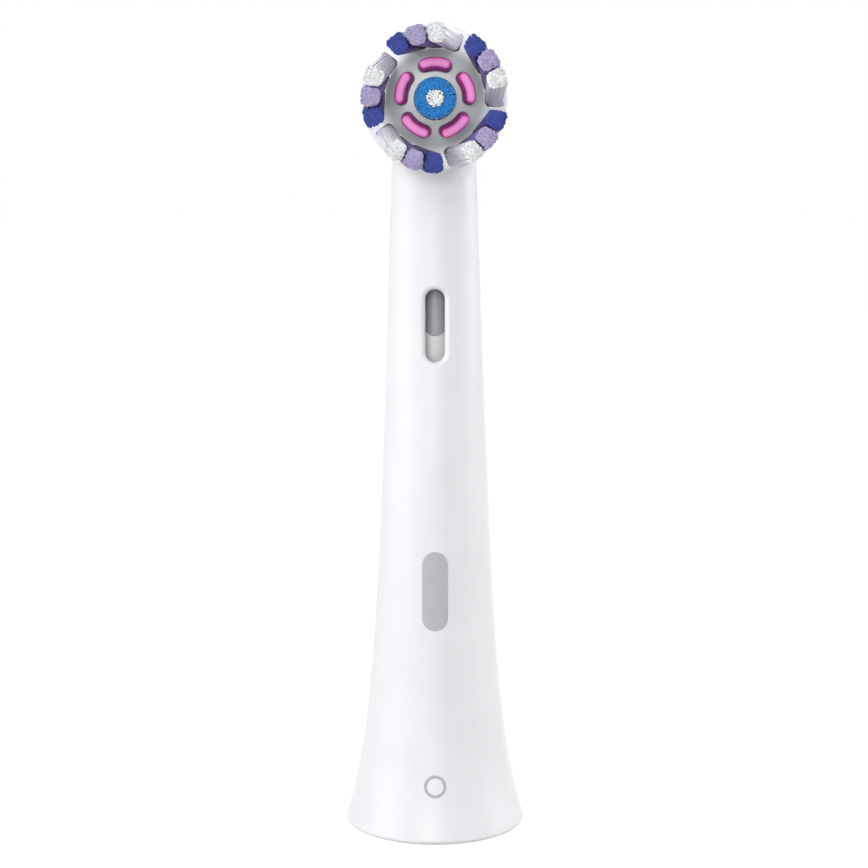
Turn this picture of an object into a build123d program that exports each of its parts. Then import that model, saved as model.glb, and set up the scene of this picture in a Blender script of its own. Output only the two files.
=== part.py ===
from build123d import *
from math import cos, exp, radians, sin
import os

os.makedirs("parts", exist_ok=True)

# Push-on head of a rotating electric toothbrush. Millimetres, +Z up along the sleeve, bristles facing -Y.
# The origin is the centre of the open foot, where the handle enters.

# Sleeve: a hollow taper on a flared foot, round below and flatter towards the head
head_height = 71.3
base_radius = 9.0
shank_radius = 6.3
neck_radius = 4.05
neck_half_depth = 3.0
flare_length = 9.2
flattening_start = 28.0
neck_overlap = 4.3
neck_blend = 2.0
wall = 1.1
foot_wall = 1.25
foot_round = 0.35
section_count = 8
section_crowding = 1.6

# Cup at the top of the sleeve, open to the front
cup_radius = 6.6
cup_wall = 1.1
cup_front = 4.4
cup_back = 3.7
cup_floor = 1.3
cup_back_round = 2.6

# Window in the front of the neck
window_height = 49.85
window_length = 6.95
window_width = 1.85
window_round = 0.42

# Base insert with the socket for the handle
socket_radius = 3.9
socket_wall = 0.85
insert_height = 17.6
flange_thickness = 1.5
rib_count = 6
rib_thickness = 0.9
rib_height = 13.0
finger_count = 3
finger_slot_width = 1.0
finger_length = 8.0
key_width = 2.0
key_depth = 0.45
key_length = 7.0

# Coupling, magnet and rod
coupling_radius = 3.1
coupling_land = 2.0
coupling_chamfer = 0.5
shaft_radius = 2.0
shaft_depth = 5.7
magnet_radius = 1.75
magnet_thickness = 2.5
stem_radius = 2.0
saddle_height = 48.7
saddle_radius = 1.4
saddle_rise = 0.7
rod_radius = 1.25
rod_grip = 4.0
rod_top = 62.6
rod_round = 0.4

# Hook from the rod to the bristle disc, and how far it swings the disc to each side, in degrees
swing = 20.0
crank_offset = 2.7
hook_radius = 0.45
hook_grip = 4.0
hook_rise = 5.1
hook_bend = 0.9

# Return spring and the guide fins that stop it
spring_length = 13.0
spring_radius = 2.5
spring_wire = 0.2
spring_turns = 6
guide_count = 4
guide_thickness = 0.9
guide_length = 18.0

# Bristle disc and its axle
disc_gap = 0.25
disc_radius = 6.8
disc_thickness = 2.3
disc_round = 0.4
skirt_wall = 0.55
skirt_depth = 1.0
hub_radius = 1.6
hub_length = 3.6
axle_radius = 0.75
axle_depth = 2.4
axle_reach = 0.4
groove_depth = 0.15
groove_width = 0.6
groove_inset = 1.2
driver_depth = 1.25
driver_wall = 0.6

# Face plate and petals
side_count = 5
plate_radius = 4.55
plate_corner_radius = 5.5
plate_corner_width = 1.4
plate_corner_blend = 1.0
plate_edge = 0.4
plate_crown = 0.5
plate_opening_round = 0.12
petal_circle = 3.09
petal_length = 2.98
petal_width = 0.97
petal_height = 2.3
petal_lean = 0.28
petal_round = 0.34
petal_gap = 0.03
web_width = 1.55
web_depth = 0.6

# Outer tufts: radial and tangential sizes, and angles in degrees
tuft_root_circle = 5.5
tuft_root_radial = 1.55
tuft_root_tangential = 1.32
tuft_root_depth = 1.6
tuft_tip_circle = 5.8
tuft_tip_radial = 1.8
tuft_tip_tangential = 1.68
tuft_spacing = 18.0
tuft_lean = 17.5
tuft_squareness = 0.5
tuft_flutes = 14
tuft_heights = {"white": 7.75, "lilac": 8.0, "blue": 7.5}
flute_depth = 0.05

# Centre tuft
centre_radius = 1.95
centre_height = 6.2
centre_depth = 1.3
centre_flutes = 24
core_radius = 0.85
core_flutes = 12

# Fits
press_clearance = 0.02
slip_clearance = 0.05
axle_clearance = 0.04
driver_clearance = 0.08
guide_clearance = 0.18
skirt_clearance = 0.2
running_gap = 0.3

# Levels along the sleeve
neck_top = head_height - neck_overlap
drive_travel = crank_offset * radians(swing)
coupling_bottom = insert_height + drive_travel + running_gap
shaft_end = coupling_bottom + shaft_depth
shoulder_height = shaft_end + magnet_thickness + coupling_land
guide_bottom = shoulder_height + spring_length
spring_seat = spring_wire + slip_clearance
saddle_top = saddle_height + saddle_rise
rod_bottom = saddle_height - rod_grip
hook_bottom = rod_top - hook_grip

# Levels ahead of the sleeve's axis
disc_back = cup_front + disc_gap
disc_front = disc_back + disc_thickness
cavity_back = cup_floor - cup_back
hub_back = disc_back - hub_length
boss_front = hub_back - running_gap
axle_back = boss_front - axle_depth
axle_front = disc_back + axle_reach
groove_back = hub_back + groove_inset
driver_back = disc_back - driver_depth
hook_front = disc_back - disc_gap
plate_front = disc_front + plate_edge + plate_crown

# Sizes that follow from a fit
flange_radius = base_radius - foot_wall - slip_clearance
skirt_radius = cup_radius - cup_wall - skirt_clearance
driver_width = 2 * (hook_radius + driver_clearance)
driver_inner = crank_offset - hook_radius - 2 * driver_clearance
driver_outer = crank_offset / cos(radians(swing)) + hook_radius + 2 * driver_clearance
driver_length = driver_outer - driver_inner
driver_centre = (driver_inner + driver_outer) / 2
plate_bore = centre_radius + slip_clearance
petal_foot = plate_edge + plate_crown
centre_length = centre_depth + centre_height
crown_radius = (plate_corner_radius**2 - plate_bore**2) / (2 * plate_crown)
first_side = 90
first_corner = first_side + 180 / side_count

# The head as seen from the front, and half profiles that turn about the disc's axis
head_plane = Plane(origin=(0, 0, head_height), x_dir=(1, 0, 0), z_dir=(0, -1, 0))
head_side = Plane(origin=(0, 0, head_height), x_dir=(1, 0, 0), z_dir=(0, 0, -1))
head_axis = Axis(origin=(0, 0, head_height), direction=(0, -1, 0))

# Middle line of the petal at angle 0, along the petal circle
petal_span = (petal_length - petal_width) / radians(petal_circle)
petal_line = CenterArc((0, 0), petal_circle, -petal_span / 2, petal_span)


def half_width(z):
    taper = shank_radius + (neck_radius - shank_radius) * z / neck_top
    return taper + (base_radius - shank_radius) * exp(-z / flare_length)


def half_depth(z):
    share = min(max((z - flattening_start) / (neck_top - flattening_start), 0), 1)
    return half_width(z) - (neck_radius - neck_half_depth) * share**2 * (3 - 2 * share)


def taper_sections(inset, bottom, top):
    """Oval sections of the sleeve between two heights, closer together towards the foot."""
    sections = []
    for step in range(section_count + 1):
        z = bottom + (top - bottom) * (step / section_count) ** section_crowding
        with BuildSketch(Plane.XY.offset(z)) as section:
            Ellipse(half_width(z) - inset, half_depth(z) - inset)
        sections.append(section.sketch)
    return sections


def bundle_section(plane, half_radial, half_tangential, squareness, flutes, wedge=0):
    """Outline of a bundle of filaments: a rounded shape edged with small arcs that bulge outwards."""
    corners = []
    for step in range(flutes):
        turn = radians(360 * (step + 0.5) / flutes)
        x = half_radial * abs(cos(turn)) ** squareness * (1 if cos(turn) > 0 else -1)
        y = half_tangential * abs(sin(turn)) ** squareness * (1 if sin(turn) > 0 else -1)
        corners.append((x, y * (1 + wedge * x)))
    with BuildSketch(plane) as section:
        with BuildLine():
            for step in range(flutes):
                SagittaArc(corners[step - 1], corners[step], -flute_depth)
        make_face()
    return section.sketch


def tuft_plane(angle, height, share):
    """Plane across a leaning tuft: share 0 at the face of the disc, 1 at the tips."""
    root = Vector(tuft_root_circle, 0).rotate(Axis.Z, angle)
    tip = Vector(tuft_tip_circle, 0).rotate(Axis.Z, angle + tuft_lean)
    centre = root + (tip - root) * share
    turn = radians(angle + tuft_lean * share)
    return Plane(
        origin=(centre.X, -disc_front - height * share, head_height + centre.Y),
        x_dir=(cos(turn), 0, sin(turn)),
        z_dir=(0, -1, 0),
    )


def tuft_size(share):
    radial = tuft_root_radial + (tuft_tip_radial - tuft_root_radial) * share
    tangential = tuft_root_tangential + (tuft_tip_tangential - tuft_root_tangential) * share
    return radial, tangential


def tuft_section(angle, height, share):
    radial, tangential = tuft_size(share)
    plane = tuft_plane(angle, height, share)
    wedge = 1 / tuft_tip_circle
    return bundle_section(plane, radial / 2, tangential / 2, tuft_squareness, tuft_flutes, wedge)


def pocket_section(angle, height, share):
    radial, tangential = tuft_size(share)
    room = 2 * (flute_depth + slip_clearance)
    with BuildSketch(tuft_plane(angle, height, share)) as section:
        RectangleRounded(radial + room, tangential + room, tangential / 4)
    return section.sketch


# Name, angle and height of every outer tuft: three along each side of the plate
tufts = []
for side in range(side_count):
    for place, shade in enumerate(tuft_heights):
        tuft_angle = first_side + side * 360 / side_count + (place - 1) * tuft_spacing
        tufts.append((f"tuft_{shade}_{side + 1}", tuft_angle, tuft_heights[shade]))

# Guide fins inside the neck: they steer the coupling's stem and stop the spring
with BuildPart() as guide_fins:
    loft(taper_sections(wall / 2, guide_bottom, guide_bottom + guide_length))
    with BuildSketch(Plane.XY.offset(guide_bottom)):
        with PolarLocations(base_radius / 2, guide_count, start_angle=180 / guide_count):
            Rectangle(base_radius, guide_thickness)
    extrude(amount=guide_length, mode=Mode.INTERSECT)
    with BuildSketch(Plane.XY.offset(guide_bottom)):
        Circle(stem_radius + guide_clearance)
    extrude(amount=guide_length, mode=Mode.SUBTRACT)

# Sleeve: cup and neck blended together, then hollowed, with a seat for the insert, an axle boss and a window
with BuildPart() as sleeve:
    with BuildSketch(head_plane.offset(-cup_back)):
        Circle(cup_radius)
    extrude(amount=cup_back + cup_front)
    fillet(sleeve.edges().sort_by(Axis.Y)[-1], cup_back_round)
    loft(taper_sections(0, 0, neck_top))
    cup_bottom = head_height - cup_radius - slip_clearance
    fillet(sleeve.edges().filter_by_position(Axis.Z, cup_bottom, neck_top), neck_blend)
    fillet(sleeve.faces().sort_by(Axis.Z)[0].edges(), foot_round)
    loft(taper_sections(wall, 0, neck_top), mode=Mode.SUBTRACT)
    with BuildSketch(head_plane.offset(cavity_back)):
        Circle(cup_radius - cup_wall)
    extrude(amount=cup_front - cavity_back, mode=Mode.SUBTRACT)
    with BuildSketch(Plane.XY):
        Circle(flange_radius + slip_clearance)
    extrude(amount=flange_thickness, mode=Mode.SUBTRACT)
    with BuildSketch(head_plane.offset(cavity_back)):
        Circle(hub_radius)
    extrude(amount=boss_front - cavity_back)
    with BuildSketch(head_plane.offset(axle_back)):
        Circle(axle_radius + press_clearance)
    extrude(amount=axle_depth, mode=Mode.SUBTRACT)
    add(guide_fins.part)
    with BuildSketch(Plane(origin=(0, 0, window_height), x_dir=(0, 0, 1), z_dir=(0, -1, 0))):
        SlotOverall(window_length, window_width)
    extrude(amount=base_radius, mode=Mode.SUBTRACT)
    mid_wall = half_depth(window_height) - wall / 2
    window_rim = sleeve.edges(Select.LAST).filter_by_position(Axis.Y, -base_radius, -mid_wall)
    fillet(window_rim, window_round)
sleeve.part.label = "sleeve"
export_step(sleeve.part, "parts/sleeve.step")

# Base insert: flange, ribbed socket tube, spring fingers and a keyway for the handle
with BuildPart() as insert:
    loft(taper_sections(wall + slip_clearance, flange_thickness, rib_height))
    with BuildSketch(Plane.XY.offset(flange_thickness)):
        Circle(socket_radius + socket_wall)
        with PolarLocations(base_radius / 2, rib_count):
            Rectangle(base_radius, rib_thickness)
    extrude(amount=rib_height - flange_thickness, mode=Mode.INTERSECT)
    with BuildSketch(Plane.XY):
        Circle(flange_radius)
    extrude(amount=flange_thickness)
    with BuildSketch(Plane.XY):
        Circle(socket_radius + socket_wall)
    extrude(amount=insert_height)
    with BuildSketch(Plane.XY):
        Circle(socket_radius)
    extrude(amount=insert_height, mode=Mode.SUBTRACT)
    with BuildSketch(Plane.XY.offset(insert_height - finger_length)):
        with PolarLocations(socket_radius, finger_count, start_angle=first_side):
            Rectangle(4 * socket_wall, finger_slot_width)
    extrude(amount=finger_length, mode=Mode.SUBTRACT)
    with BuildSketch(Plane.XY):
        with Locations((0, -socket_radius)):
            Rectangle(key_width, 2 * key_depth)
    extrude(amount=key_length, mode=Mode.SUBTRACT)
insert.part.label = "base_insert"
export_step(insert.part, "parts/base_insert.step")

# Coupling: socket for the drive shaft below, stem with a saddle for the rod above
with BuildPart() as coupling:
    with BuildSketch(Plane.XY.offset(coupling_bottom)):
        Circle(coupling_radius)
    extrude(amount=shoulder_height - coupling_bottom)
    chamfer(coupling.edges().group_by(Axis.Z)[0], coupling_chamfer)
    with BuildSketch(Plane.XY.offset(shoulder_height)):
        Circle(stem_radius)
    extrude(amount=saddle_top - shoulder_height)
    with BuildSketch(Plane.XY.offset(coupling_bottom)):
        Circle(shaft_radius)
    extrude(amount=shaft_depth, mode=Mode.SUBTRACT)
    with BuildSketch(Plane.XY.offset(shaft_end)):
        Circle(magnet_radius + press_clearance)
    extrude(amount=magnet_thickness, mode=Mode.SUBTRACT)
    with BuildSketch(Plane.XY.offset(rod_bottom)):
        Circle(rod_radius + press_clearance)
    extrude(amount=saddle_top - rod_bottom, mode=Mode.SUBTRACT)
    with BuildSketch(Plane.XZ.offset(-stem_radius)):
        with Locations((0, saddle_height + saddle_radius)):
            Circle(saddle_radius)
    extrude(amount=2 * stem_radius, mode=Mode.SUBTRACT)
coupling.part.label = "drive_coupling"
export_step(coupling.part, "parts/drive_coupling.step")

# Magnet disc at the end of the shaft socket
with BuildPart() as magnet:
    with BuildSketch(Plane.XY.offset(shaft_end)):
        Circle(magnet_radius)
    extrude(amount=magnet_thickness)
magnet.part.label = "coupling_magnet"
export_step(magnet.part, "parts/coupling_magnet.step")

# Rod, seen through the window, with a bore for the hook
with BuildPart() as rod:
    with BuildSketch(Plane.XY.offset(rod_bottom)):
        Circle(rod_radius)
    extrude(amount=rod_top - rod_bottom)
    fillet(rod.edges().sort_by(Axis.Z)[-1], rod_round)
    with BuildSketch(Plane.XY.offset(hook_bottom)):
        Circle(hook_radius + press_clearance)
    extrude(amount=hook_grip, mode=Mode.SUBTRACT)
rod.part.label = "drive_rod"
export_step(rod.part, "parts/drive_rod.step")

# Hook: bent wire from the rod, sideways past the axle and forward into the disc
with BuildPart() as hook:
    with BuildLine() as hook_path:
        FilletPolyline(
            (0, 0, hook_bottom),
            (0, 0, rod_top + hook_bend),
            (crank_offset, 0, rod_top + hook_bend + hook_rise),
            (crank_offset, 0, head_height),
            (crank_offset, -hook_front, head_height),
            radius=hook_bend,
        )
    with BuildSketch(Plane.XY.offset(hook_bottom)):
        Circle(hook_radius)
    sweep(path=hook_path.line)
hook.part.label = "crank_hook"
export_step(hook.part, "parts/crank_hook.step")

# Return spring between the shoulder of the coupling and the guide fins
with BuildPart() as spring:
    coil_height = spring_length - 2 * spring_seat
    with BuildLine() as coil:
        Helix(coil_height / spring_turns, coil_height, spring_radius, (0, 0, shoulder_height + spring_seat))
    with BuildSketch(Plane(origin=coil.line @ 0, z_dir=coil.line % 0)):
        Circle(spring_wire)
    sweep(path=coil.line, is_frenet=True)
spring.part.label = "return_spring"
export_step(spring.part, "parts/return_spring.step")

# Axle pin with a snap groove
with BuildPart() as axle:
    with BuildSketch(head_plane.offset(axle_back)):
        Circle(axle_radius)
    extrude(amount=axle_front - axle_back)
    chamfer(axle.edges().filter_by(GeomType.CIRCLE), groove_depth)
    with BuildSketch(head_plane.offset(groove_back)):
        Circle(axle_radius)
        Circle(axle_radius - groove_depth, mode=Mode.SUBTRACT)
    extrude(amount=groove_width, mode=Mode.SUBTRACT)
axle.part.label = "axle_pin"
export_step(axle.part, "parts/axle_pin.step")

# Bristle disc: skirt inside the cup, hub on the axle, driver slot for the hook, pockets for web and tufts
with BuildPart() as disc:
    with BuildSketch(head_plane.offset(disc_back)):
        Circle(disc_radius)
    extrude(amount=disc_thickness)
    fillet(disc.edges().filter_by(GeomType.CIRCLE), disc_round)
    with BuildSketch(head_plane.offset(disc_back - skirt_depth)):
        Circle(skirt_radius)
        Circle(skirt_radius - skirt_wall, mode=Mode.SUBTRACT)
    extrude(amount=skirt_depth)
    with BuildSketch(head_plane.offset(hub_back)):
        Circle(hub_radius)
    extrude(amount=hub_length)
    with BuildSketch(head_plane.offset(driver_back)):
        with Locations((driver_centre, 0)):
            SlotOverall(driver_length + 2 * driver_wall, driver_width + 2 * driver_wall)
    extrude(amount=driver_depth)
    with BuildSketch(head_plane.offset(driver_back)):
        with Locations((driver_centre, 0)):
            SlotOverall(driver_length, driver_width)
    extrude(amount=driver_depth, mode=Mode.SUBTRACT)
    with BuildSketch(head_plane.offset(hub_back)):
        Circle(axle_radius + axle_clearance)
    extrude(amount=axle_front + running_gap - hub_back, mode=Mode.SUBTRACT)
    with BuildSketch(head_plane.offset(groove_back + slip_clearance)):
        Circle(hub_radius)
        Circle(axle_radius - groove_depth + axle_clearance, mode=Mode.SUBTRACT)
    extrude(amount=groove_width - 2 * slip_clearance)
    with BuildSketch(head_plane.offset(disc_front - web_depth)):
        Circle(petal_circle + web_width / 2 + press_clearance)
        Circle(petal_circle - web_width / 2 - press_clearance, mode=Mode.SUBTRACT)
    extrude(amount=web_depth, mode=Mode.SUBTRACT)
    with BuildSketch(head_plane.offset(disc_front - centre_depth)):
        Circle(plate_bore)
    extrude(amount=centre_depth, mode=Mode.SUBTRACT)
    for tuft_name, tuft_angle, tuft_height in tufts:
        pocket = tuft_root_depth / tuft_height
        floor = pocket_section(tuft_angle, tuft_height, -pocket)
        mouth = pocket_section(tuft_angle, tuft_height, pocket)
        loft([floor, mouth], mode=Mode.SUBTRACT)
disc.part.label = "bristle_disc"
export_step(disc.part, "parts/bristle_disc.step")

# Face plate: crowned and five-cornered, with windows for the petals and a hole for the centre tuft
with BuildPart() as plate:
    with BuildSketch(head_side):
        with BuildLine():
            bore = Line((plate_bore, disc_front), (plate_bore, plate_front))
            crown = RadiusArc(bore @ 1, (plate_corner_radius, disc_front + plate_edge), crown_radius)
            edge = Line(crown @ 1, (plate_corner_radius, disc_front))
            Line(edge @ 1, bore @ 0)
        make_face()
    revolve(axis=head_axis)
    with BuildSketch(head_plane.offset(disc_front)) as plate_outline:
        Circle(plate_radius)
        with PolarLocations(plate_corner_radius / 2, side_count, start_angle=first_corner):
            Rectangle(plate_corner_radius + plate_edge, plate_corner_width)
        fillet(plate_outline.vertices().sort_by_distance((0, 0))[: 2 * side_count], plate_corner_blend)
    extrude(amount=plate_edge + plate_crown, mode=Mode.INTERSECT)
    with BuildSketch(head_plane.offset(disc_front)):
        with PolarLocations(0, side_count, start_angle=first_side):
            SlotArc(petal_line, petal_width + 2 * petal_gap)
    extrude(amount=plate_edge + plate_crown, mode=Mode.SUBTRACT)
    opening_rim = plate.edges(Select.LAST).filter_by_position(Axis.Y, -plate_front, -disc_front - plate_edge)
    fillet(opening_rim, plate_opening_round)
plate.part.label = "face_plate"
export_step(plate.part, "parts/face_plate.step")

# Petals: one rubber moulding, a web ring under the plate with round-topped walls that lean outwards
with BuildPart() as petals:
    with BuildSketch(head_plane.offset(disc_front - web_depth)):
        Circle(petal_circle + web_width / 2)
        Circle(petal_circle - web_width / 2, mode=Mode.SUBTRACT)
    extrude(amount=web_depth)
    with BuildSketch(head_plane.offset(disc_front)):
        with PolarLocations(0, side_count, start_angle=first_side):
            SlotArc(petal_line, petal_width)
    extrude(amount=petal_foot)
    for side in range(side_count):
        petal_angle = first_side + side * 360 / side_count
        turn = radians(petal_angle)
        lean = Vector(petal_lean * cos(turn), petal_foot - petal_height, petal_lean * sin(turn))
        with BuildSketch(head_plane.offset(disc_front + petal_foot)):
            with PolarLocations(0, 1, start_angle=petal_angle):
                SlotArc(petal_line, petal_width)
        extrude(amount=lean.length, dir=lean)
    fillet(petals.faces().sort_by(Axis.Y)[:side_count].edges(), petal_round)
petals.part.label = "polishing_petals"
export_step(petals.part, "parts/polishing_petals.step")

# Outer tufts
for tuft_name, tuft_angle, tuft_height in tufts:
    with BuildPart() as tuft:
        root = tuft_section(tuft_angle, tuft_height, -tuft_root_depth / tuft_height)
        loft([root, tuft_section(tuft_angle, tuft_height, 1)])
    tuft.part.label = tuft_name
    export_step(tuft.part, f"parts/{tuft_name}.step")

# Centre tuft: a ring of filaments round a core
centre_plane = head_plane.offset(disc_front - centre_depth)
with BuildPart() as centre_ring:
    ring_radius = centre_radius - flute_depth
    ring_section = bundle_section(centre_plane, ring_radius, ring_radius, 1, centre_flutes)
    extrude(ring_section, centre_length)
    with BuildSketch(centre_plane):
        Circle(core_radius + flute_depth + press_clearance)
    extrude(amount=centre_length, mode=Mode.SUBTRACT)
centre_ring.part.label = "centre_tuft_ring"
export_step(centre_ring.part, "parts/centre_tuft_ring.step")

with BuildPart() as centre_core:
    core_section = bundle_section(centre_plane, core_radius, core_radius, 1, core_flutes)
    extrude(core_section, centre_length)
centre_core.part.label = "centre_tuft_core"
export_step(centre_core.part, "parts/centre_tuft_core.step")
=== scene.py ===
# %% [markdown]
# # A round-headed brush for an electric toothbrush
#
# The shape of this part was drawn in CAD and packed into a frame of named bodies and nodes. This lesson
# dresses that frame: it gives every piece its finish, puts a smooth copy of the return spring in its place,
# prints the two marks on the sleeve and turns the solid tufts into bundles of single filaments. The frame
# is loaded first, because every piece added later takes its place from it. The box of the bare frame is
# kept, and the marks are placed in front of it.

# %% Load the frame
import math
import bmesh
import bpy
import numpy as np
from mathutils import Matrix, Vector


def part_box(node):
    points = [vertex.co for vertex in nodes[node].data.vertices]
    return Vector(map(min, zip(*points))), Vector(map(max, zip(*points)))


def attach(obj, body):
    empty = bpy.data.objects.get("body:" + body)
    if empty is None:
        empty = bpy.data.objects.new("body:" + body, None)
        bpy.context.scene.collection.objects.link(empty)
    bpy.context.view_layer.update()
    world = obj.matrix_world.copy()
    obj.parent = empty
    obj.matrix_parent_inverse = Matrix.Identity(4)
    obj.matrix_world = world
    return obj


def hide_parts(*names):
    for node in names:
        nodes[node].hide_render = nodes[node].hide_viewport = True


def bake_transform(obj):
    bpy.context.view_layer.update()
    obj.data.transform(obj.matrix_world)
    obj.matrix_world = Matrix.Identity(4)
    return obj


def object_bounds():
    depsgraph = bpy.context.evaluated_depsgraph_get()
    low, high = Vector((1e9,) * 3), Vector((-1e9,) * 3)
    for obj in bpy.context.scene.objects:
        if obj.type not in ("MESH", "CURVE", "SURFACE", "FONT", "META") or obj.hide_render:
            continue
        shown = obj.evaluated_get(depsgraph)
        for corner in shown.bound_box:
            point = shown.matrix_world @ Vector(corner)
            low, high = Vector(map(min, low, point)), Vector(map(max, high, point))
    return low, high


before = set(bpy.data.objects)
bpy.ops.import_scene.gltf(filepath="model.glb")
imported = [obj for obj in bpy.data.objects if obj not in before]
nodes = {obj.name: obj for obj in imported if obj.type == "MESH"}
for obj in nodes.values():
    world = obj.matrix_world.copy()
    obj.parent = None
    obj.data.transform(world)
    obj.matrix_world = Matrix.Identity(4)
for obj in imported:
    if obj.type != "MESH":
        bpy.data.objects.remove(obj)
cad_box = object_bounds()
pin_low, pin_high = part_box("axle_pin")
head_height = (pin_low.z + pin_high.z) / 2
print("nodes:", len(nodes), " head centre at z =", round(head_height, 5))
for name in ("sleeve", "bristle_disc", "tuft_lilac_1"):
    print(name, "has", len(nodes[name].data.polygons), "faces")

# %% [markdown]
# ## The camera
#
# The part is small, so it is photographed from close by with a long lens. The camera stands a little
# below the level of the head and looks slightly down, which shows the tufts almost end on and the foot
# from just above. Its height, its distance and its angle were solved from the outline of the part.

# %% Camera
millimetre = 0.001
camera_place = Vector((-0.1, -210.2, 69.55)) * millimetre
camera_pitch = math.radians(8.3)
camera_data = bpy.data.cameras.new("camera")
camera_data.lens = 89.9
camera_data.sensor_width = 36
camera_data.clip_start = 0.01
camera = bpy.data.objects.new("camera", camera_data)
camera.location = camera_place
camera.rotation_euler = (math.pi / 2 - camera_pitch, 0, 0)
bpy.context.scene.collection.objects.link(camera)
bpy.context.scene.camera = camera
print("camera at", [round(v, 4) for v in camera.location])

# %% [markdown]
# ## The studio
#
# White plastic on a white ground is lit like jewellery in a light tent: a bright room all round, one broad
# lamp on the left, one on the right and one in front, a little above the camera. Between the front and the
# right lamp a soft grey band runs down the sleeve, and it is this band that makes the sleeve look round.
# The front lamp also puts the shadow of the head on the neck. The face of the head lies deep between the
# tufts, so a small lamp, close to the camera and narrowed by a tube, lights only the head. A lamp behind
# the part adds nothing to this picture; it is there for views of the back. The ground is white only for
# rays that come from the camera, from a reflection or through a clear material, so it adds no light.

# %% World
bpy.context.scene.view_settings.view_transform = "Standard"
room_level = 0.29
room_colour = (0.98, 0.985, 1.0, 1)
world = bpy.data.worlds.new("light_tent")
world.use_nodes = True
bpy.context.scene.world = world
world_tree = world.node_tree
world_tree.nodes.clear()


def seen_directly(tree):
    """A socket that is 1 for rays from the camera, a reflection or a clear material, and 0 for light."""
    path = tree.nodes.new("ShaderNodeLightPath")
    total = path.outputs["Is Camera Ray"]
    for ray in ("Is Glossy Ray", "Is Transmission Ray"):
        larger = tree.nodes.new("ShaderNodeMath")
        larger.operation = "MAXIMUM"
        tree.links.new(total, larger.inputs[0])
        tree.links.new(path.outputs[ray], larger.inputs[1])
        total = larger.outputs[0]
    return total


room = world_tree.nodes.new("ShaderNodeBackground")
room.inputs["Color"].default_value = room_colour
room.inputs["Strength"].default_value = room_level
ground = world_tree.nodes.new("ShaderNodeBackground")
ground.inputs["Color"].default_value = (1, 1, 1, 1)
choose = world_tree.nodes.new("ShaderNodeMixShader")
world_out = world_tree.nodes.new("ShaderNodeOutputWorld")
world_tree.links.new(seen_directly(world_tree), choose.inputs["Fac"])
world_tree.links.new(room.outputs[0], choose.inputs[1])
world_tree.links.new(ground.outputs[0], choose.inputs[2])
world_tree.links.new(choose.outputs[0], world_out.inputs["Surface"])
print("room level", room_level)

# %% Lamps
lamp_target = Vector((0, 0, 0.045))
tube_width = 0.003
tube_blur = 0.25
face_target = Vector((0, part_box("tuft_lilac_1")[0].y, head_height))


def hang_lamp(data, target, azimuth, elevation, distance):
    """Hangs a lamp at a distance from its target and aims it there."""
    lamp = bpy.data.objects.new(data.name, data)
    turn, lift = math.radians(azimuth), math.radians(elevation)
    away = Vector((math.sin(turn) * math.cos(lift), -math.cos(turn) * math.cos(lift), math.sin(lift)))
    lamp.location = target + away * distance
    lamp.rotation_euler = (-away).to_track_quat("-Z", "Y").to_euler()
    lamp.visible_camera = False
    bpy.context.scene.collection.objects.link(lamp)


def soft_lamp(name, azimuth, elevation, distance, size, level):
    """A square lamp aimed at the part; level is the light it adds on a white face turned towards it."""
    data = bpy.data.lights.new(name, "AREA")
    data.size = size
    data.energy = level * math.pi ** 2 * distance ** 2
    hang_lamp(data, lamp_target, azimuth, elevation, distance)


def narrow_lamp(name, azimuth, elevation, distance, beam, level):
    """A lamp with a tube in front of it, which lights only a spot of the radius beam on the head."""
    data = bpy.data.lights.new(name, "SPOT")
    data.shadow_soft_size = tube_width
    data.spot_size = 2 * math.atan(beam / distance)
    data.spot_blend = tube_blur
    data.energy = level * (2 * math.pi * distance) ** 2
    hang_lamp(data, face_target, azimuth, elevation, distance)


soft_lamp("key_lamp", azimuth=-66, elevation=24, distance=0.5, size=0.32, level=0.6)
soft_lamp("fill_lamp", azimuth=94, elevation=18, distance=0.5, size=0.28, level=0.59)
soft_lamp("front_lamp", azimuth=-7, elevation=16, distance=0.6, size=0.28, level=0.39)
soft_lamp("back_lamp", azimuth=170, elevation=12, distance=0.5, size=0.3, level=0.38)
narrow_lamp("head_lamp", azimuth=0, elevation=-1, distance=0.3, beam=0.0069, level=0.22)
print("lamps: key_lamp, fill_lamp, front_lamp, back_lamp, head_lamp")

# %% [markdown]
# ## The floor
#
# The floor is a plain pale sheet. A white floor would throw much light back up and fill the shadow under
# the head, so the sheet itself is grey. A glow that only the camera and reflections see lifts it to the
# white of the ground, and the soft shadow of the foot still shows on it.

# %% Floor
floor_size = 3.0
floor_glow = 0.88
sheet_grey = 0.4
bpy.ops.mesh.primitive_plane_add(size=floor_size)
floor = bpy.context.object
floor.name = "floor"
sheet = bpy.data.materials.new("white_sheet")
sheet.use_nodes = True
sheet_tree = sheet.node_tree
sheet_tree.nodes.clear()
paper = sheet_tree.nodes.new("ShaderNodeBsdfDiffuse")
paper.inputs["Color"].default_value = (sheet_grey, sheet_grey, sheet_grey, 1)
glow = sheet_tree.nodes.new("ShaderNodeEmission")
level = sheet_tree.nodes.new("ShaderNodeMath")
level.operation = "MULTIPLY"
level.inputs[1].default_value = floor_glow
both = sheet_tree.nodes.new("ShaderNodeAddShader")
sheet_out = sheet_tree.nodes.new("ShaderNodeOutputMaterial")
sheet_tree.links.new(seen_directly(sheet_tree), level.inputs[0])
sheet_tree.links.new(level.outputs[0], glow.inputs["Strength"])
sheet_tree.links.new(paper.outputs[0], both.inputs[0])
sheet_tree.links.new(glow.outputs[0], both.inputs[1])
sheet_tree.links.new(both.outputs[0], sheet_out.inputs["Surface"])
floor.data.materials.append(sheet)
print("floor", floor_size, "m across")

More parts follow.
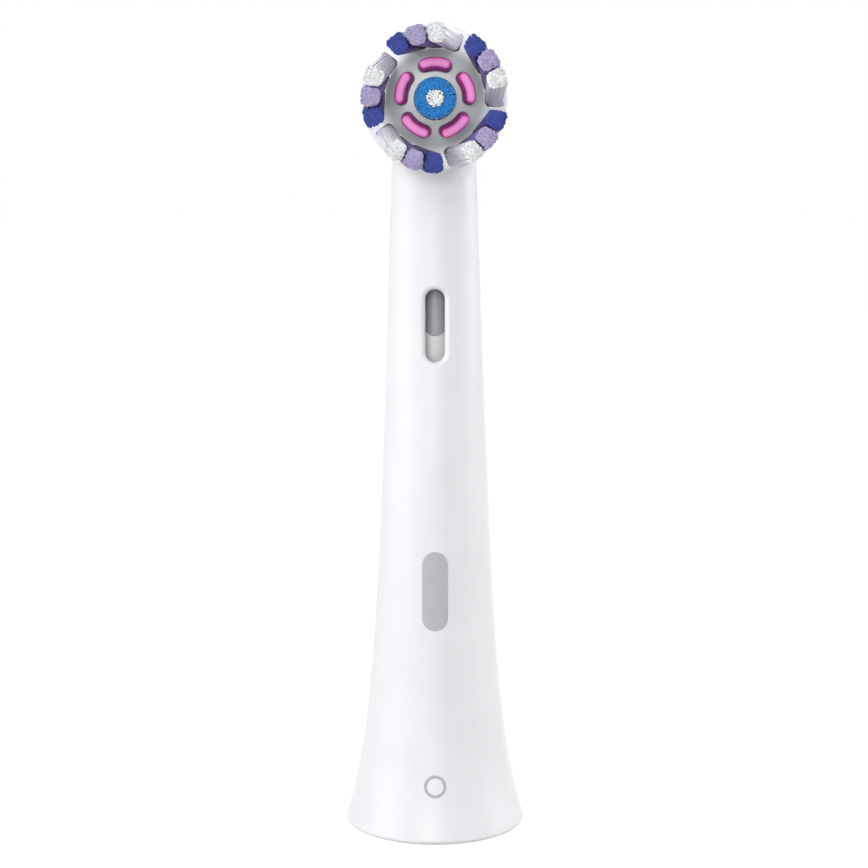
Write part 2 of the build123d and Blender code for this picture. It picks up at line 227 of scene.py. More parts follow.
# %% [markdown]
# ## Finishes for the moulded pieces
#
# Every plastic piece here is moulded, and a mould leaves two kinds of detail. The steel of the mould is
# finely blasted, which gives the plastic its satin grain. The melt also cools unevenly, so the shade and
# the gloss drift a little over a few millimetres. One helper makes both from noise on object coordinates:
# fine noise drives a bump, broad noise drives the colour and the roughness. What is the same all over a
# piece, such as the specular level, stays on the shader itself.

# %% Colour helpers
# a Mix node has sockets for every kind of data; these are the ones for colours
mix_factor, mix_low, mix_high, mix_result = 0, 6, 7, 2


def shade(red, green, blue):
    """A display colour from 0 to 255, as the linear colour that a shader takes."""
    channels = []
    for value in (red, green, blue):
        value /= 255
        channels.append(value / 12.92 if value <= 0.04045 else ((value + 0.055) / 1.055) ** 2.4)
    return (*channels, 1)


def new_finish(name):
    """An empty material with its node tree and its shader."""
    material = bpy.data.materials.new(name)
    material.use_nodes = True
    return material, material.node_tree, material.node_tree.nodes["Principled BSDF"]


def noise_field(tree, size, detail=2.0):
    """Noise on object coordinates whose features are about size metres across."""
    place = tree.nodes.new("ShaderNodeTexCoord")
    noise = tree.nodes.new("ShaderNodeTexNoise")
    noise.inputs["Scale"].default_value = 1 / size
    noise.inputs["Detail"].default_value = detail
    tree.links.new(place.outputs["Object"], noise.inputs["Vector"])
    return noise.outputs["Fac"]


def spread(tree, source, low, high, start=0.3, end=0.7):
    """The source from start to end, spread over the numbers from low to high."""
    reach = tree.nodes.new("ShaderNodeMapRange")
    for socket, value in zip(("From Min", "From Max", "To Min", "To Max"), (start, end, low, high)):
        reach.inputs[socket].default_value = value
    tree.links.new(source, reach.inputs["Value"])
    return reach.outputs[0]


def blend_colours(tree, factor, low, high):
    """A colour between low and high."""
    mix = tree.nodes.new("ShaderNodeMix")
    mix.data_type = "RGBA"
    mix.inputs[mix_low].default_value = low
    mix.inputs[mix_high].default_value = high
    tree.links.new(factor, mix.inputs[mix_factor])
    return mix.outputs[mix_result]


print("white of the sleeve, linear:", [round(c, 3) for c in shade(240, 240, 243)])

# %% Moulded finish
gloss_drift = 0.04


def moulded_finish(name, low, high, rough, grain=0.00016, depth=0.000002, drift=0.006, specular=0.5):
    """Satin plastic: a fine blasted grain, with a slow drift of shade and gloss."""
    material, tree, shader = new_finish(name)
    slow = noise_field(tree, drift)
    tree.links.new(blend_colours(tree, spread(tree, slow, 0, 1), low, high), shader.inputs["Base Color"])
    tree.links.new(spread(tree, slow, rough - gloss_drift, rough + gloss_drift), shader.inputs["Roughness"])
    bump = tree.nodes.new("ShaderNodeBump")
    bump.inputs["Distance"].default_value = depth
    tree.links.new(noise_field(tree, grain, detail=4.0), bump.inputs["Height"])
    tree.links.new(bump.outputs["Normal"], shader.inputs["Normal"])
    shader.inputs["Specular IOR Level"].default_value = specular
    return material


def fade_into(material, factor, colour):
    """Fades the colour of a finish into another one where the factor grows to 1."""
    tree = material.node_tree
    base = tree.nodes["Principled BSDF"].inputs["Base Color"]
    fade = tree.nodes.new("ShaderNodeMix")
    fade.data_type = "RGBA"
    fade.inputs[mix_high].default_value = colour
    tree.links.new(factor, fade.inputs[mix_factor])
    tree.links.new(base.links[0].from_socket, fade.inputs[mix_low])
    tree.links.new(fade.outputs[mix_result], base)


def dress(name, material):
    """Puts a finish on a node of the frame."""
    slots = nodes[name].data.materials
    slots.clear()
    slots.append(material)


sleeve_white = moulded_finish("sleeve_white", shade(238, 238, 241), shade(242, 242, 245), rough=0.36)
carrier_white = moulded_finish("carrier_white", shade(239, 239, 242), shade(244, 244, 246), rough=0.34)
insert_white = moulded_finish("insert_white", shade(226, 228, 230), shade(234, 235, 237), rough=0.42)
coupling_white = moulded_finish("coupling_white", shade(240, 240, 239), shade(246, 246, 245), rough=0.4)
rod_grey = moulded_finish("rod_grey", shade(186, 186, 189), shade(194, 194, 197), rough=0.38)
moulded_pieces = {"sleeve": sleeve_white, "bristle_disc": carrier_white, "base_insert": insert_white,
                  "drive_coupling": coupling_white, "drive_rod": rod_grey}
for name, material in moulded_pieces.items():
    dress(name, material)
print("moulded finishes:", len(moulded_pieces))

# %% [markdown]
# ## Face plate
#
# The plate is grey plastic with a little metal powder in it, so it shines more than plain plastic. Its
# five corners carry a painted highlight, where the light catches them. The distance from the middle of
# the head tells where the corners are, and it fades the grey into a pale grey.

# %% Plate
corner_highlight_start = 0.0043
corner_highlight_end = 0.0054
painted_corner_highlight = shade(230, 233, 234)
powder_share = 0.15
plate_grey = moulded_finish("plate_grey", shade(156, 161, 161), shade(164, 169, 169), rough=0.38)
plate_tree = plate_grey.node_tree
place = plate_tree.nodes.new("ShaderNodeTexCoord")
from_middle = plate_tree.nodes.new("ShaderNodeVectorMath")
from_middle.operation = "DISTANCE"
from_middle.inputs[1].default_value = (0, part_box("face_plate")[0].y, head_height)
plate_tree.links.new(place.outputs["Object"], from_middle.inputs[0])
corner_highlight_mask = spread(plate_tree, from_middle.outputs["Value"], 0, 1, corner_highlight_start, corner_highlight_end)
# painted highlight: the grey fades to a pale grey towards the five corners
fade_into(plate_grey, corner_highlight_mask, painted_corner_highlight)
plate_tree.nodes["Principled BSDF"].inputs["Metallic"].default_value = powder_share
dress("face_plate", plate_grey)
print("plate:", len(nodes["face_plate"].data.polygons), "faces")

# %% [markdown]
# ## Rubber petals
#
# The five petals polish the teeth. They are soft rubber in one bright colour, moulded through the plate.
# Light goes a little way into such rubber and comes out again, so the petals glow at their thin edges;
# a small share of subsurface scattering gives that, with a radius of a fraction of a millimetre. A
# painted highlight lies on the crests: the colour fades to a light pink over the last fifth of a
# millimetre.

# %% Petals
petal_rubber = moulded_finish("petal_rubber", shade(206, 8, 158), shade(216, 12, 166), rough=0.3,
                              grain=0.0002, depth=0.000003, drift=0.002, specular=0.06)
petal_tree = petal_rubber.node_tree
petal_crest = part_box("polishing_petals")[0].y
highlight_depth = 0.0002
painted_crest_highlight = shade(255, 160, 220)
glow_share = 0.08
glow_colours = (1.0, 0.35, 0.7)
glow_reach = 0.0006
place = petal_tree.nodes.new("ShaderNodeTexCoord")
axes = petal_tree.nodes.new("ShaderNodeSeparateXYZ")
petal_tree.links.new(place.outputs["Object"], axes.inputs[0])
# painted highlight: the colour fades to a light pink towards the crest
crest_highlight_mask = spread(petal_tree, axes.outputs["Y"], 0, 1, petal_crest + highlight_depth, petal_crest)
fade_into(petal_rubber, crest_highlight_mask, painted_crest_highlight)
rubber = petal_tree.nodes["Principled BSDF"]
rubber.inputs["Subsurface Weight"].default_value = glow_share
rubber.inputs["Subsurface Radius"].default_value = glow_colours
rubber.inputs["Subsurface Scale"].default_value = glow_reach
dress("polishing_petals", petal_rubber)
print("petals:", len(nodes["polishing_petals"].data.polygons), "faces")

# %% [markdown]
# ## Metal pieces
#
# The pin, the hook and the spring are drawn stainless wire. Drawing leaves fine scratches along the wire,
# so the noise is stretched: along the pin, and round the coils of the spring. The magnet is nickel plated
# and smoother.

# %% Metals
scratch_gloss = 0.08


def metal_finish(name, low, high, rough, stretch):
    """Bright metal; its scratches are drawn out along the axes with the smaller scale."""
    material, tree, shader = new_finish(name)
    place = tree.nodes.new("ShaderNodeTexCoord")
    mapping = tree.nodes.new("ShaderNodeMapping")
    mapping.inputs["Scale"].default_value = stretch
    noise = tree.nodes.new("ShaderNodeTexNoise")
    noise.inputs["Scale"].default_value = 1
    noise.inputs["Detail"].default_value = 3
    tree.links.new(place.outputs["Object"], mapping.inputs["Vector"])
    tree.links.new(mapping.outputs[0], noise.inputs["Vector"])
    scratch = noise.outputs["Fac"]
    tree.links.new(blend_colours(tree, spread(tree, scratch, 0, 1), low, high), shader.inputs["Base Color"])
    gloss = spread(tree, scratch, rough - scratch_gloss, rough + scratch_gloss)
    tree.links.new(gloss, shader.inputs["Roughness"])
    shader.inputs["Metallic"].default_value = 1
    return material


pin_steel = metal_finish("pin_steel", shade(178, 180, 184), shade(202, 204, 208),
                         rough=0.26, stretch=(9000, 900, 9000))
wire_steel = metal_finish("wire_steel", shade(170, 172, 176), shade(196, 198, 202),
                          rough=0.3, stretch=(4000, 4000, 9000))
magnet_nickel = metal_finish("magnet_nickel", shade(190, 188, 182), shade(208, 206, 201),
                             rough=0.2, stretch=(3000, 3000, 3000))
dress("axle_pin", pin_steel)
dress("crank_hook", wire_steel)
dress("return_spring", wire_steel)
dress("coupling_magnet", magnet_nickel)
print("metal finishes: 3")

# %% [markdown]
# ## Return spring
#
# The spring stands between the housing and the coupling: its upper end stays, and its lower end goes up and
# down with the coupling. No single body moves like that. Here a copy of its mesh is merged and shaded
# smooth, and it takes the place of the spring node, which is hidden.

# %% Spring
same_place = 1e-7


def close_seams(mesh, to_front=False):
    """Merges points that share a place and shades smooth; to_front also turns the faces to the front."""
    form = bmesh.new()
    form.from_mesh(mesh)
    bmesh.ops.remove_doubles(form, verts=form.verts, dist=same_place)
    for face in form.faces:
        if to_front and face.normal.y > 0:
            face.normal_flip()
        face.smooth = True
    form.to_mesh(mesh)
    form.free()


spring_mesh = nodes["return_spring"].data.copy()
close_seams(spring_mesh)
spring = bpy.data.objects.new("return_spring_coil", spring_mesh)
bpy.context.scene.collection.objects.link(spring)
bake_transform(spring)
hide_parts("return_spring")
print("spring:", len(spring_mesh.polygons), "faces")

# %% [markdown]
# ## Marks printed on the sleeve
#
# Two marks in grey ink sit on the front of the sleeve: a plain capsule half way down and a thin ring near
# the foot. Pad printing lays a film of ink on a curved face. The same is done here: a flat grid of the
# mark's outline stands in front of the sleeve, a Shrinkwrap modifier projects it straight back on to the
# surface, and Solidify gives the film its thickness. The result is turned into a plain mesh.

# %% Print
ink_film = 0.000012
ink_lift = 0.000006
print_gap = 0.004


def plain_mesh(piece):
    """Swaps a piece's modifiers for the mesh that they make."""
    graph = bpy.context.evaluated_depsgraph_get()
    result = bpy.data.meshes.new_from_object(piece.evaluated_get(graph), preserve_all_data_layers=True,
                                             depsgraph=graph)
    piece.modifiers.clear()
    piece.data = result
    return piece


def print_mark(name, rows, closed, material):
    """Lays rows of points (x, z) on the front of the sleeve as a film of ink."""
    columns = len(rows[0])
    points = [(x, -cad_box[1].x - print_gap, z) for row in rows for x, z in row]
    pairs = [(r, (r + 1) % len(rows)) for r in range(len(rows) if closed else len(rows) - 1)]
    faces = [(a * columns + c, a * columns + c + 1, b * columns + c + 1, b * columns + c)
             for a, b in pairs for c in range(columns - 1)]
    mesh = bpy.data.meshes.new(name)
    mesh.from_pydata(points, [], faces)
    close_seams(mesh, to_front=True)
    mark = bpy.data.objects.new(name, mesh)
    bpy.context.scene.collection.objects.link(mark)
    wrap = mark.modifiers.new("on_the_sleeve", "SHRINKWRAP")
    wrap.target = nodes["sleeve"]
    wrap.wrap_method = "PROJECT"
    wrap.use_project_y = True
    wrap.use_negative_direction = False
    wrap.use_positive_direction = True
    wrap.wrap_mode = "ABOVE_SURFACE"
    wrap.offset = ink_lift
    film = mark.modifiers.new("film", "SOLIDIFY")
    film.thickness = ink_film
    film.offset = 1
    plain_mesh(mark)
    mark.data.materials.append(material)
    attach(mark, "housing")
    return mark


mark_ink = moulded_finish("mark_ink", shade(184, 185, 190), shade(190, 191, 196), rough=0.45,
                          grain=0.00006, depth=0.000001, drift=0.0015)
print("film of ink, mm:", ink_film / millimetre)

# %% Capsule mark
capsule_centre = 0.02435
capsule_half_width = 0.00125
capsule_half_length = 0.00385
capsule_steps = 40
capsule_columns = 12
straight = capsule_half_length - capsule_half_width
capsule_rows = []
for step in range(capsule_steps + 1):
    turn = math.pi * (step / capsule_steps - 0.5)
    height = capsule_centre + math.copysign(straight, turn) + capsule_half_width * math.sin(turn)
    width = capsule_half_width * math.cos(turn)
    capsule_rows.append([(width * (2 * column / capsule_columns - 1), height)
                         for column in range(capsule_columns + 1)])
capsule = print_mark("capsule_mark", capsule_rows, False, mark_ink)
print("capsule mark:", len(capsule.data.polygons), "faces")

# %% Ring mark
ring_centre = 0.0055
ring_radius = 0.00094
ring_line = 0.00028
ring_steps = 64
ring_columns = 2
reaches = [ring_radius + ring_line * (column / ring_columns - 0.5) for column in range(ring_columns + 1)]
ring_rows = []
for step in range(ring_steps):
    turn = 2 * math.pi * step / ring_steps
    ring_rows.append([(reach * math.cos(turn), ring_centre + reach * math.sin(turn)) for reach in reaches])
ring = print_mark("ring_mark", ring_rows, True, mark_ink)
print("ring mark:", len(ring.data.polygons), "faces")

# %% [markdown]
# ## Filaments
#
# A tuft is a bundle of nylon filaments folded into one hole of the carrier. In the frame a tuft is one
# solid, which gives its place, its lean and its size at both ends. Here each solid is read back and filled
# with filaments by one Geometry Nodes tree. The tree places a point for every filament, by the sunflower
# rule that spreads points evenly over a round or squarish section, puts a slim unit cylinder on each
# point, and then bends every cylinder from its place at the root to its place at the tip. A filament is a
# little wider at its tip, so that the tips of a bundle close up. Its tip is shaded flat, because smooth
# shading would run over its edge and leave a dark speck. The tree has named inputs for the sizes, so that
# the same tree makes all tufts, the ring and the core.

# %% Tree helpers
def wire(tree, socket, value):
    """Feeds an input from another node or with a plain value."""
    if isinstance(value, bpy.types.NodeSocket):
        tree.links.new(value, socket)
    elif value is not None:
        socket.default_value = value


def sum_up(tree, operation, first, second=None):
    """One step of arithmetic."""
    step = tree.nodes.new("ShaderNodeMath")
    step.operation = operation
    wire(tree, step.inputs[0], first)
    wire(tree, step.inputs[1], second)
    return step.outputs[0]


def between(tree, share, low, high):
    """The number between low and high; 2 and 3 are the sockets of a Mix node for plain numbers."""
    mix = tree.nodes.new("ShaderNodeMix")
    mix.data_type = "FLOAT"
    wire(tree, mix.inputs[0], share)
    wire(tree, mix.inputs[2], low)
    wire(tree, mix.inputs[3], high)
    return mix.outputs[0]


def along_curve(tree, share, points):
    """A share read off a curve through the given points."""
    curve = tree.nodes.new("ShaderNodeFloatCurve")
    line = curve.mapping.curves[0]
    while len(line.points) < len(points):
        line.points.new(0.5, 0.5)
    for point, place in zip(line.points, points):
        point.location = place
        point.handle_type = "VECTOR"
    curve.mapping.update()
    tree.links.new(share, curve.inputs["Value"])
    return curve.outputs[0]


def random_share(tree, seed, low=0.0, high=1.0):
    """A fixed random number for every filament."""
    dice = tree.nodes.new("FunctionNodeRandomValue")
    dice.data_type = "FLOAT"
    dice.inputs[2].default_value = low
    dice.inputs[3].default_value = high
    wire(tree, dice.inputs["Seed"], seed)
    return dice.outputs[1]


print("tree helpers: wire, sum_up, between, along_curve, random_share")

# %% Tree: inputs
tuft_inputs = {"Filaments": "NodeSocketInt", "Edge Filaments": "NodeSocketInt", "Fill": "NodeSocketFloat",
               "Filament Radius": "NodeSocketFloat", "Root": "NodeSocketVector", "Tip": "NodeSocketVector",
               "Root Radial": "NodeSocketFloat", "Root Tangential": "NodeSocketFloat",
               "Tip Radial": "NodeSocketFloat", "Tip Tangential": "NodeSocketFloat",
               "Root Turn": "NodeSocketFloat", "Tip Turn": "NodeSocketFloat", "Wedge": "NodeSocketFloat",
               "Hollow": "NodeSocketFloat", "Squareness": "NodeSocketFloat", "Ragged": "NodeSocketFloat",
               "Splay": "NodeSocketFloat", "Crown": "NodeSocketFloat", "Seed": "NodeSocketInt",
               "Finish": "NodeSocketMaterial"}
tuft_tree = bpy.data.node_groups.new("filament_bundle", "GeometryNodeTree")
for name, kind in tuft_inputs.items():
    tuft_tree.interface.new_socket(name, in_out="INPUT", socket_type=kind)
tuft_tree.interface.new_socket("Geometry", in_out="OUTPUT", socket_type="NodeSocketGeometry")
size = tuft_tree.nodes.new("NodeGroupInput").outputs
tuft_end = tuft_tree.nodes.new("NodeGroupOutput")
print("tree inputs:", len(tuft_inputs))

# %% Tree: a point for every filament
golden_turn = math.pi * (3 - math.sqrt(5))


def keep_value(geometry, name, kind, value):
    """Stores a value on every point under a name that survives the later nodes."""
    store = tuft_tree.nodes.new("GeometryNodeStoreNamedAttribute")
    store.data_type = kind
    store.inputs["Name"].default_value = name
    wire(tuft_tree, store.inputs["Geometry"], geometry)
    wire(tuft_tree, store.inputs["Value"], value)
    return store.outputs[0]


def sums(operation, first, second=None):
    """Arithmetic in the tree of the tufts."""
    return sum_up(tuft_tree, operation, first, second)


points = tuft_tree.nodes.new("GeometryNodePoints")
wire(tuft_tree, points.inputs["Count"], size["Filaments"])
number = tuft_tree.nodes.new("GeometryNodeInputIndex").outputs[0]
on_edge = sums("LESS_THAN", number, size["Edge Filaments"])
inner_number = sums("SUBTRACT", number, size["Edge Filaments"])
inner_count = sums("SUBTRACT", size["Filaments"], size["Edge Filaments"])
share = sums("DIVIDE", sums("ADD", inner_number, 0.5), inner_count)
inner = sums("MULTIPLY", size["Hollow"], size["Hollow"])
outer = sums("MULTIPLY", size["Fill"], size["Fill"])
reach = between(tuft_tree, on_edge, sums("SQRT", between(tuft_tree, share, inner, outer)), 1.0)
edge_turn = sums("DIVIDE", sums("MULTIPLY", number, 2 * math.pi), size["Edge Filaments"])
turn = between(tuft_tree, on_edge, sums("MULTIPLY", number, golden_turn), edge_turn)
across, upward = sums("COSINE", turn), sums("SINE", turn)
rim = sums("POWER", sums("ADD", sums("POWER", sums("ABSOLUTE", across), size["Squareness"]),
                         sums("POWER", sums("ABSOLUTE", upward), size["Squareness"])),
           sums("DIVIDE", -1.0, size["Squareness"]))
spot = tuft_tree.nodes.new("ShaderNodeCombineXYZ")
wire(tuft_tree, spot.inputs[0], sums("MULTIPLY", sums("MULTIPLY", reach, rim), across))
wire(tuft_tree, spot.inputs[1], sums("MULTIPLY", sums("MULTIPLY", reach, rim), upward))
wire(tuft_tree, spot.inputs[2], random_share(tuft_tree, size["Seed"]))
stray = tuft_tree.nodes.new("ShaderNodeCombineXYZ")
wire(tuft_tree, stray.inputs[0], random_share(tuft_tree, sums("ADD", size["Seed"], 1), -1, 1))
wire(tuft_tree, stray.inputs[1], random_share(tuft_tree, sums("ADD", size["Seed"], 2), -1, 1))
placed = keep_value(points.outputs[0], "spot", "FLOAT_VECTOR", spot.outputs[0])
placed = keep_value(placed, "stray", "FLOAT_VECTOR", stray.outputs[0])
placed = keep_value(placed, "tone", "FLOAT", random_share(tuft_tree, sums("ADD", size["Seed"], 3)))
print("golden turn, degrees:", round(math.degrees(golden_turn), 1))

# %% Tree: a cylinder on every point
filament_sides = 6
filament_rings = 5
ring_places = ((0, 0), (0.2, 0.34), (0.4, 0.68), (0.6, 0.986), (0.8, 0.997), (1, 1))
ring_girths = ((0, 0.87), (0.2, 0.87), (0.4, 0.87), (0.6, 0.93), (0.8, 1), (1, 0.94))


def named_value(name, kind):
    """Reads a value that an earlier node stored."""
    read = tuft_tree.nodes.new("GeometryNodeInputNamedAttribute")
    read.data_type = kind
    read.inputs["Name"].default_value = name
    return read.outputs["Attribute"]


def parts_of(vector):
    """The three numbers of a vector."""
    split = tuft_tree.nodes.new("ShaderNodeSeparateXYZ")
    wire(tuft_tree, split.inputs[0], vector)
    return split.outputs


cylinder = tuft_tree.nodes.new("GeometryNodeMeshCylinder")
cylinder.inputs["Vertices"].default_value = filament_sides
cylinder.inputs["Side Segments"].default_value = filament_rings
cylinder.inputs["Radius"].default_value = 1
cylinder.inputs["Depth"].default_value = 1
scatter = tuft_tree.nodes.new("GeometryNodeInstanceOnPoints")
wire(tuft_tree, scatter.inputs["Points"], placed)
wire(tuft_tree, scatter.inputs["Instance"], cylinder.outputs["Mesh"])
realize = tuft_tree.nodes.new("GeometryNodeRealizeInstances")
wire(tuft_tree, realize.inputs[0], scatter.outputs[0])
print("filament:", filament_sides, "sides,", filament_rings, "rings")

# %% Tree: the way from root to tip
local = parts_of(tuft_tree.nodes.new("GeometryNodeInputPosition").outputs[0])
own = parts_of(named_value("spot", "FLOAT_VECTOR"))
drift = parts_of(named_value("stray", "FLOAT_VECTOR"))
length = sums("ADD", local[2], 0.5)
girth = sums("MULTIPLY", along_curve(tuft_tree, length, ring_girths), size["Filament Radius"])
climb = along_curve(tuft_tree, length, ring_places)
off_axis = sums("ADD", sums("MULTIPLY", own[0], own[0]), sums("MULTIPLY", own[1], own[1]))
uneven = sums("MULTIPLY", own[2], size["Ragged"])
shortfall = sums("ADD", uneven, sums("MULTIPLY", off_axis, size["Crown"]))
way = sums("MULTIPLY", climb, sums("SUBTRACT", 1.0, shortfall))
wander = sums("MULTIPLY", sums("MULTIPLY", way, way), size["Splay"])


def section_place(spot_share, root_half, tip_half, drift_side):
    """How far the middle of a filament lies from the middle of its bundle, along one side."""
    half = sums("SUBTRACT", between(tuft_tree, way, root_half, tip_half), size["Filament Radius"])
    inside = sums("SUBTRACT", half, wander)
    return sums("ADD", sums("MULTIPLY", spot_share, inside), sums("MULTIPLY", wander, drift_side))


outward = section_place(own[0], size["Root Radial"], size["Tip Radial"], drift[0])
sideways = section_place(own[1], size["Root Tangential"], size["Tip Tangential"], drift[1])
widening = sums("ADD", 1.0, sums("MULTIPLY", outward, size["Wedge"]))
radial = sums("ADD", outward, sums("MULTIPLY", local[0], girth))
tangential = sums("ADD", sums("MULTIPLY", sideways, widening), sums("MULTIPLY", local[1], girth))
heading = between(tuft_tree, way, size["Root Turn"], size["Tip Turn"])
cosine, sine = sums("COSINE", heading), sums("SINE", heading)
print("tree nodes so far:", len(tuft_tree.nodes))

# %% Tree: bend, shading and finish
# 4 and 5 are the sockets of a Mix node for vectors
middle = tuft_tree.nodes.new("ShaderNodeMix")
middle.data_type = "VECTOR"
wire(tuft_tree, middle.inputs[0], way)
wire(tuft_tree, middle.inputs[4], size["Root"])
wire(tuft_tree, middle.inputs[5], size["Tip"])
centre = parts_of(middle.outputs[1])
turned_x = sums("SUBTRACT", sums("MULTIPLY", cosine, radial), sums("MULTIPLY", sine, tangential))
turned_z = sums("ADD", sums("MULTIPLY", sine, radial), sums("MULTIPLY", cosine, tangential))
goal = tuft_tree.nodes.new("ShaderNodeCombineXYZ")
wire(tuft_tree, goal.inputs[0], sums("ADD", centre[0], turned_x))
wire(tuft_tree, goal.inputs[1], centre[1])
wire(tuft_tree, goal.inputs[2], sums("ADD", centre[2], turned_z))
marked = keep_value(realize.outputs[0], "along", "FLOAT", climb)
bend = tuft_tree.nodes.new("GeometryNodeSetPosition")
wire(tuft_tree, bend.inputs["Geometry"], marked)
wire(tuft_tree, bend.inputs["Position"], goal.outputs[0])
on_side = tuft_tree.nodes.new("FunctionNodeBooleanMath")
on_side.operation = "NOT"
wire(tuft_tree, on_side.inputs[0], cylinder.outputs["Top"])
smooth = tuft_tree.nodes.new("GeometryNodeSetShadeSmooth")
wire(tuft_tree, smooth.inputs["Geometry"], bend.outputs[0])
wire(tuft_tree, smooth.inputs["Selection"], on_side.outputs[0])
colour = tuft_tree.nodes.new("GeometryNodeSetMaterial")
wire(tuft_tree, colour.inputs["Geometry"], smooth.outputs[0])
wire(tuft_tree, colour.inputs["Material"], size["Finish"])
wire(tuft_tree, tuft_end.inputs[0], colour.outputs[0])
print("tree nodes:", len(tuft_tree.nodes))

# %% [markdown]
# ## The colour of the filaments
#
# The nylon is dyed through, and its ends are ground, so the tips look duller than the sides. The colour
# along a filament is painted: darker at the root as painted shade between the tufts, with the white root
# tinted lavender as a painted reflection of its coloured neighbours, and paler at the tip, partly for the
# ground end and partly as a painted highlight on ends that face the lamps. The tree stores two values on
# every filament for this: how far along it a point lies and one random tone. The first runs the root
# colour into the side colour and the side colour into the tip colour. The second makes neighbours differ,
# fully at the tips and only a little on the sides, which are seen at a slant and run together.

# %% Filament finish
root_shade_end = 0.15
side_start, side_end = 0.7, 0.95
tip_start = 0.93
darkest_tone, lightest_tone = 0.72, 1.1
tone_on_side = 0.25
ground_rough = 0.2
nylon_specular = 0.25


def filament_finish(name, root, side, tip, rough=0.34):
    """Dyed nylon, with painted shade at the root and a paler tip, partly a painted highlight, a little
    different on every filament.
    """
    material, tree, shader = new_finish(name)
    tone = tree.nodes.new("ShaderNodeAttribute")
    tone.attribute_name = "tone"
    along = tree.nodes.new("ShaderNodeAttribute")
    along.attribute_name = "along"
    shades = tree.nodes.new("ShaderNodeValToRGB")
    ramp = shades.color_ramp
    # painted shade: the ramp starts in the darker root colour
    ramp.elements[0].position, ramp.elements[0].color = root_shade_end, root
    ramp.elements[1].position, ramp.elements[1].color = 1.0, tip
    for position in (side_start, side_end):
        ramp.elements.new(position).color = side
    differ = tree.nodes.new("ShaderNodeHueSaturation")
    tree.links.new(along.outputs["Fac"], shades.inputs["Fac"])
    tree.links.new(shades.outputs["Color"], differ.inputs["Color"])
    value = spread(tree, tone.outputs["Fac"], darkest_tone, lightest_tone, 0, 1)
    tree.links.new(value, differ.inputs["Value"])
    tree.links.new(spread(tree, along.outputs["Fac"], tone_on_side, 1, tip_start, 1.0), differ.inputs["Fac"])
    tree.links.new(differ.outputs["Color"], shader.inputs["Base Color"])
    dull = spread(tree, along.outputs["Fac"], rough, rough + ground_rough, tip_start, 1.0)
    tree.links.new(dull, shader.inputs["Roughness"])
    shader.inputs["Specular IOR Level"].default_value = nylon_specular
    return material


# root colours are painted shade, the white one also a lavender painted reflection; tip colours are paler,
# partly a painted highlight
white_filament = filament_finish("white_filament", root=shade(228, 224, 241), side=shade(248, 248, 252),
                                 tip=shade(231, 233, 234))
lilac_filament = filament_finish("lilac_filament", root=shade(92, 78, 150), side=shade(132, 116, 186),
                                 tip=shade(173, 162, 200))
blue_filament = filament_finish("blue_filament", root=shade(25, 37, 114), side=shade(36, 52, 145),
                                tip=shade(52, 68, 152))
sky_filament = filament_finish("sky_filament", root=shade(2, 76, 148), side=shade(4, 99, 177),
                               tip=shade(8, 120, 194))
print("filament finishes: 4")

# %% [markdown]
# ## Filling the tufts
#
# Each tuft of the frame is read back from its own mesh: the middle and the half sizes of its flat end at
# the root and at the tip. Those numbers go into the tree's inputs, and the bundle that comes out takes the
# place of the solid and swings with the head.

# %% Read a tuft
flat_depth = 2e-6


def end_section(points, direction, wedge):
    """The middle of a flat end and its half sizes, radially and tangentially to the head."""
    outward = np.array((math.cos(direction), 0, math.sin(direction)))
    sideways = np.array((-math.sin(direction), 0, math.cos(direction)))
    radial, tangential = points @ outward, points @ sideways
    radial_middle = (radial.min() + radial.max()) / 2
    tangential_middle = (tangential.min() + tangential.max()) / 2
    widening = 1 + wedge * (radial - radial_middle)
    half_tangential = np.abs((tangential - tangential_middle) / widening).max()
    middle = outward * radial_middle + sideways * tangential_middle + np.array((0, points[0, 1], 0))
    return Vector(middle), (radial.max() - radial.min()) / 2, half_tangential


def tuft_ends(name):
    """The wedge of a tuft and both its ends: middle, radial half, tangential half, direction."""
    places = np.array([vertex.co for vertex in nodes[name].data.vertices])
    depth = places[:, 1]
    flats = [places[np.abs(depth - end) < flat_depth] for end in (depth.max(), depth.min())]
    middles = [(flat.min(0) + flat.max(0)) / 2 for flat in flats]
    wedge = 1 / math.hypot(middles[1][0], middles[1][2] - head_height)
    ends = []
    for flat, spot in zip(flats, middles):
        direction = math.atan2(spot[2] - head_height, spot[0])
        ends.append((*end_section(flat, direction, wedge), direction))
    return wedge, ends


for end in tuft_ends("tuft_lilac_1")[1]:
    halves = [round(half / millimetre, 3) for half in end[1:3]]
    print("lilac end, mm:", [round(v / millimetre, 2) for v in end[0]], "half sizes", halves)

# %% Fill a tuft
filament_radius = 0.000115
root_swell = 0.00007
edge_room = 1.05


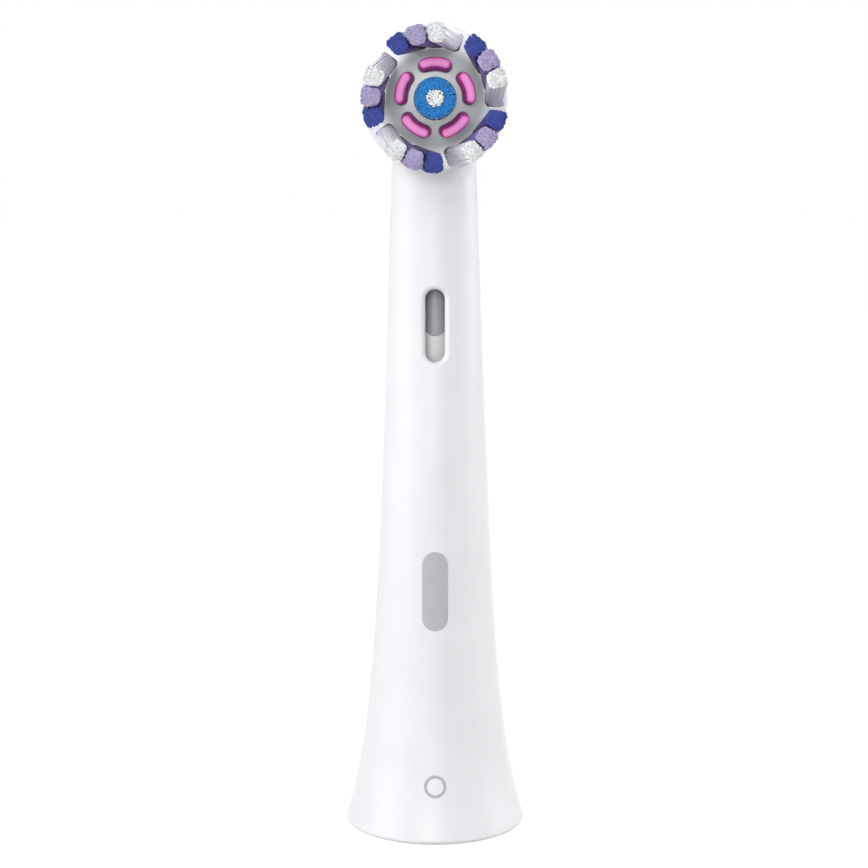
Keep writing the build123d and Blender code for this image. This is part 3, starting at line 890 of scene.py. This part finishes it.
def fill_tuft(node, finish, filaments, settings, section=None):
    """Replaces a solid tuft by a bundle of filaments of the same place, lean and size."""
    wedge, (root, tip) = section or tuft_ends(node)
    swing = math.remainder(tip[3] - root[3], 2 * math.pi)
    edge_filaments, inner_filaments = filaments
    values = {"Filaments": edge_filaments + inner_filaments, "Edge Filaments": edge_filaments,
              "Fill": 1 - edge_room * filament_radius / tip[1],
              "Filament Radius": filament_radius, "Root": root[0], "Tip": tip[0],
              "Root Radial": root[1] + root_swell, "Root Tangential": root[2] + root_swell,
              "Tip Radial": tip[1], "Tip Tangential": tip[2],
              "Root Turn": root[3], "Tip Turn": root[3] + swing, "Wedge": wedge,
              "Finish": finish, **settings}
    piece = bpy.data.objects.new(node + "_filaments", bpy.data.meshes.new(node + "_filaments"))
    bpy.context.scene.collection.objects.link(piece)
    modifier = piece.modifiers.new("filaments", "NODES")
    modifier.node_group = tuft_tree
    for item in tuft_tree.interface.items_tree:
        if item.in_out == "INPUT":
            modifier[item.identifier] = values[item.name]
    plain_mesh(piece)
    for extra in ("spot", "stray"):
        piece.data.attributes.remove(piece.data.attributes[extra])
    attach(piece, "brush")
    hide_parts(node)
    return piece


outer_tuft = {"Hollow": 0.0, "Squareness": 5.0, "Ragged": 0.011, "Splay": 0.00005, "Crown": 0.012}
outer_filaments = (36, 110)
groups = 5
faces = 0
for dye, finish in (("white", white_filament), ("lilac", lilac_filament), ("blue", blue_filament)):
    for group in range(1, groups + 1):
        tuft = fill_tuft(f"tuft_{dye}_{group}", finish, outer_filaments,
                         {**outer_tuft, "Seed": 10 * group + len(dye)})
        faces += len(tuft.data.polygons)
print("outer tufts:", 3 * groups, "with", faces, "faces")

# %% Centre tuft
core_gap = 0.03
ring_filaments = (56, 330)
core_filaments = (20, 46)


def round_half(node):
    """Half the width of a round bundle."""
    low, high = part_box(node)
    return (high.x - low.x) / 2


def round_ends(node):
    """Both ends of a round bundle, in the form that tuft_ends gives."""
    low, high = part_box(node)
    half = round_half(node)
    return 0.0, [(Vector((0, y, head_height)), half, half, 0.0) for y in (high.y, low.y)]


core_share = round_half("centre_tuft_core") / round_half("centre_tuft_ring")
round_tuft = {"Squareness": 2.0, "Ragged": 0.02, "Splay": 0.00006, "Seed": 7}
centre_ring = fill_tuft("centre_tuft_ring", sky_filament, ring_filaments,
                        {**round_tuft, "Hollow": core_share + core_gap, "Crown": 0.03},
                        round_ends("centre_tuft_ring"))
centre_core = fill_tuft("centre_tuft_core", white_filament, core_filaments,
                        {**round_tuft, "Hollow": 0.0, "Crown": 0.0}, round_ends("centre_tuft_core"))
print("centre tuft:", len(centre_ring.data.polygons) + len(centre_core.data.polygons), "faces")
